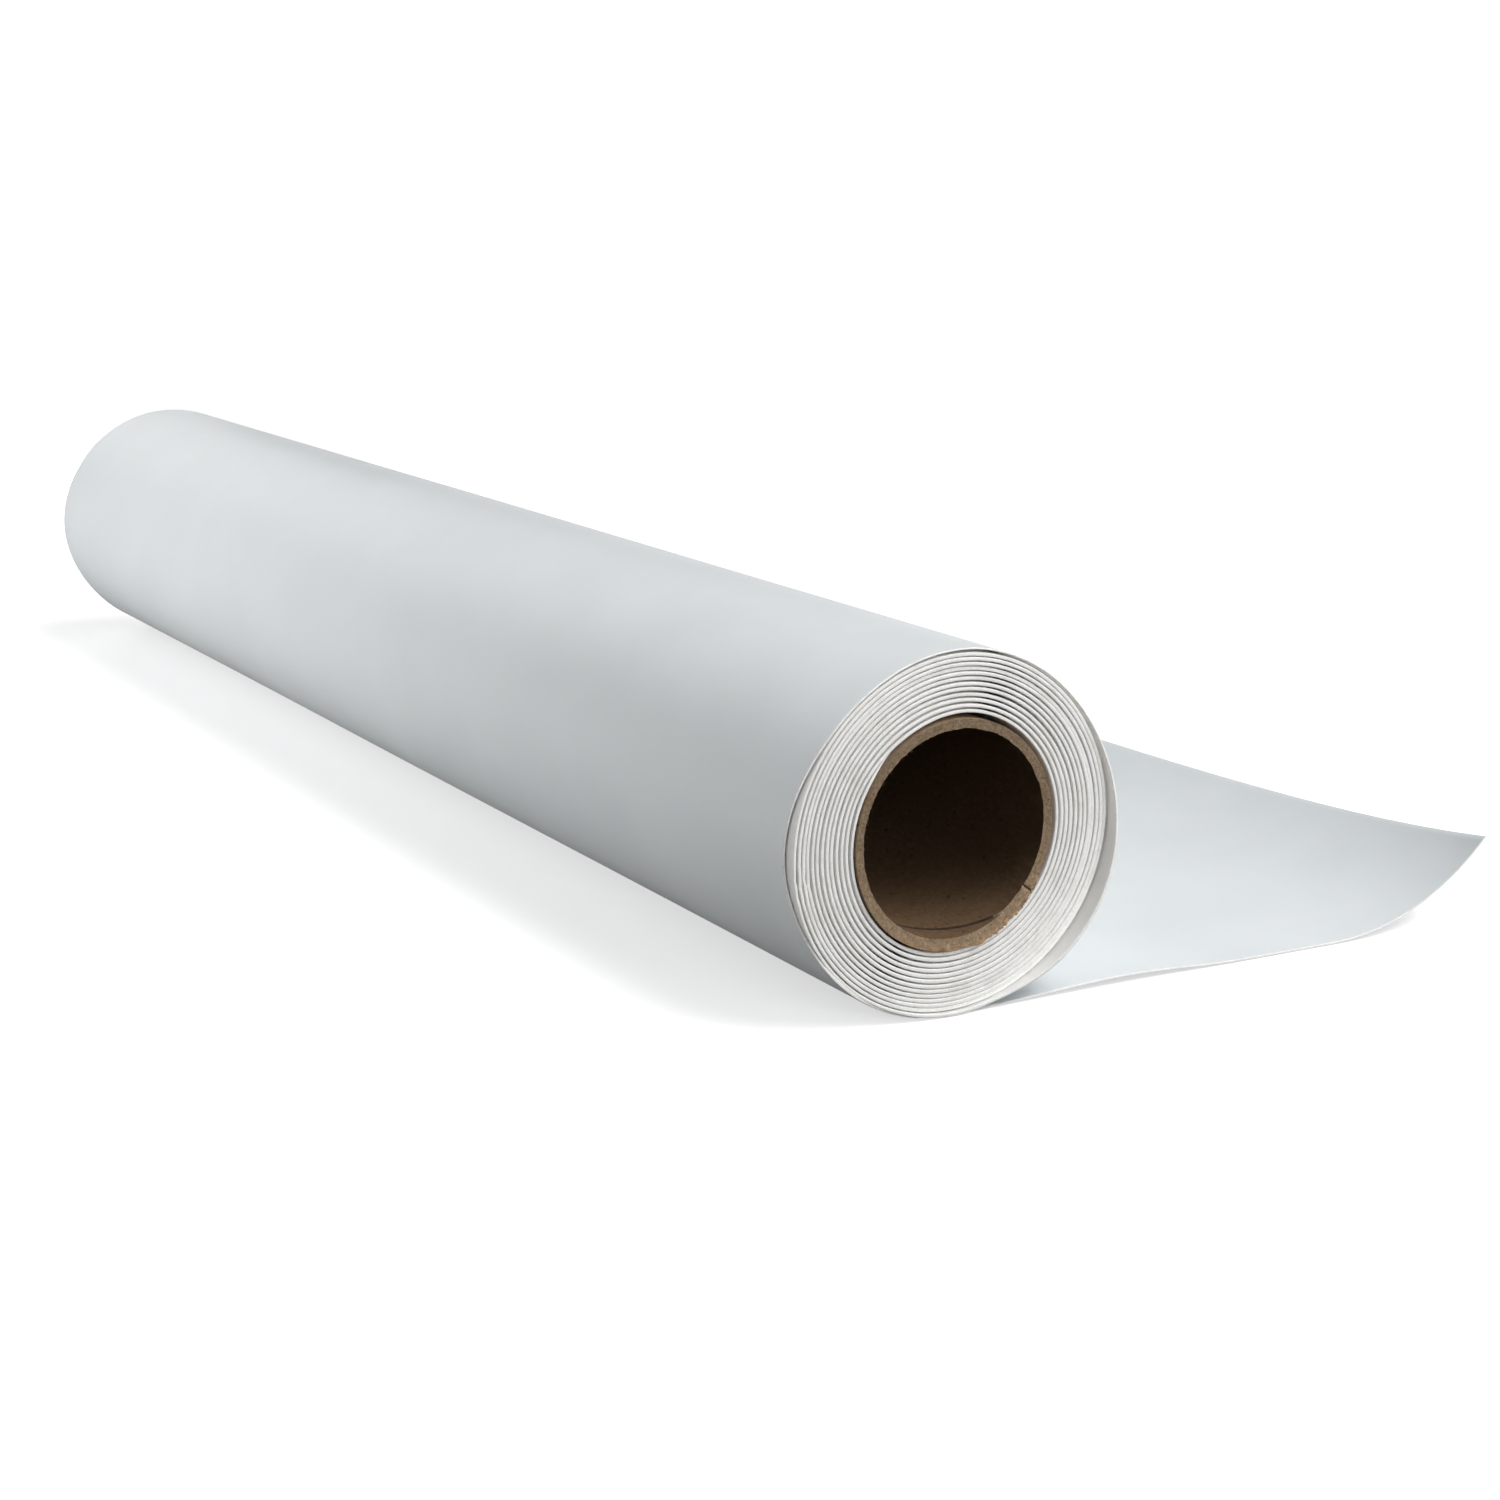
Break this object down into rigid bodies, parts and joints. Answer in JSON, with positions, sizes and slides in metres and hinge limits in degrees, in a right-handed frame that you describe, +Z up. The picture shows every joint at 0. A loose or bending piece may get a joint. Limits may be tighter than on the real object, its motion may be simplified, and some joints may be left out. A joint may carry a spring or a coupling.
{
  "type": "backdrop paper roll",
  "caption": "White backdrop sheet wound on a cardboard core, lying on the floor with its curled leader drawn out from under the roll.",
  "frame": {"origin": "on the floor under the roll's axis, at the middle of the sheet's width", "axes": "+Y along the roll from its near end to its far end, +X the way the leader runs out, +Z up"},
  "size_m": [0.343, 0.858, 0.1346],
  "materials": {
    "paper_white": "matte white coated paper with a slight sheen",
    "kraft_board": "raw brown spiral-wound kraft board"
  },
  "bodies": {
    "outer_wrap": {"paper_outer_wrap": "paper_white"},
    "wound_turns": {"paper_turn_01": "paper_white", "paper_turn_02": "paper_white", "paper_turn_03": "paper_white", "paper_turn_04": "paper_white", "paper_turn_05": "paper_white", "paper_turn_06": "paper_white", "paper_turn_07": "paper_white", "paper_turn_08": "paper_white", "paper_turn_09": "paper_white", "paper_turn_10": "paper_white", "paper_turn_11": "paper_white", "paper_turn_12": "paper_white"},
    "core": {"core_liner_ply": "kraft_board", "core_board_ply_1": "kraft_board", "core_board_ply_2": "kraft_board", "core_board_ply_3": "kraft_board", "core_outer_ply": "kraft_board"},
    "leader_run": {"paper_leader_run": "paper_white"},
    "leader_end": {"paper_leader_end": "paper_white"}
  },
  "joints": [
    {"name": "roll_turn", "type": "hinge", "parent": "outer_wrap", "child": "wound_turns", "pos_m": [0, 0, 0.0673], "axis": [0, -1, 0], "range_deg": [0, 360]},
    {"name": "leader_feed", "type": "slide", "parent": "outer_wrap", "child": "leader_run", "axis": [1, 0, 0], "range_m": [0, 0.4191]},
    {"name": "core_slide", "type": "slide", "parent": "wound_turns", "child": "core", "axis": [0, 1, 0], "range_m": [-0.1, 0.1]},
    {"name": "leader_lift", "type": "hinge", "parent": "leader_run", "child": "leader_end", "pos_m": [0.084, 0, 0.00334], "axis": [0, -1, 0], "range_deg": [0, 70]}
  ],
  "couplings": [
    {"joint": "leader_feed", "follows": "roll_turn", "m_per_rad": 0.0667}
  ]
}
